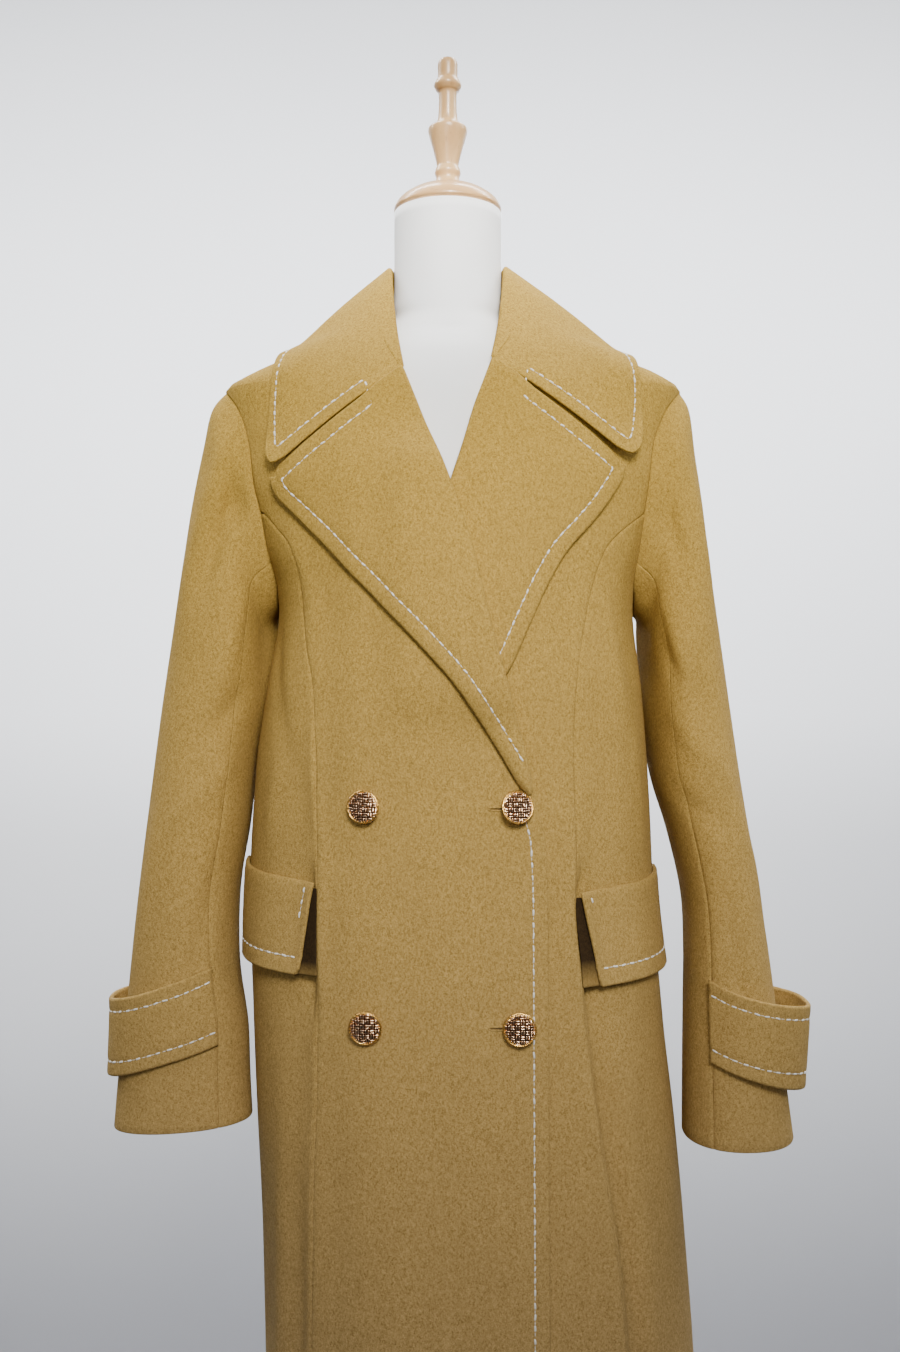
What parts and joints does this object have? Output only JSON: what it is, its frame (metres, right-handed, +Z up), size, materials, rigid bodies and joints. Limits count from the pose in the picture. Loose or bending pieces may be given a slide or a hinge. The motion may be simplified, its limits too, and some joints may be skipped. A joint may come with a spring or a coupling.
{
  "type": "wool coat on a limbless dress form",
  "caption": "Long double-breasted wool coat with wide notched lapels, cuff straps and flap pockets, buttoned on a limbless dress form with a turned wooden stand.",
  "frame": {"origin": "centre of the stand base's flat underside, on the surface that it rests on", "axes": "+Z up, -Y the coat's front, +X the wearer's left"},
  "size_m": [0.5828, 0.39, 1.6154],
  "materials": {
    "camel_wool": "brushed double-faced wool, matt",
    "gold_metal": "polished with dark recesses",
    "form_cover": "matt white jersey",
    "beech_wood": "clear satin varnish"
  },
  "bodies": {
    "root": {"front_left": "camel_wool", "front_right": "camel_wool", "side_front_left": "camel_wool", "side_front_right": "camel_wool", "back": "camel_wool", "lapel_left": "camel_wool", "lapel_right": "camel_wool", "collar": "camel_wool", "sleeve_top_left": "camel_wool", "sleeve_top_right": "camel_wool", "sleeve_under_left": "camel_wool", "sleeve_under_right": "camel_wool", "cuff_strap_left": "camel_wool", "cuff_strap_right": "camel_wool", "pocket_flap_left": "camel_wool", "pocket_flap_right": "camel_wool", "button_1": "gold_metal", "button_2": "gold_metal", "button_3": "gold_metal", "button_4": "gold_metal", "form_torso": "form_cover", "neck_cap": "beech_wood", "finial": "beech_wood", "pole": "beech_wood", "base": "beech_wood"}
  },
  "joints": []
}
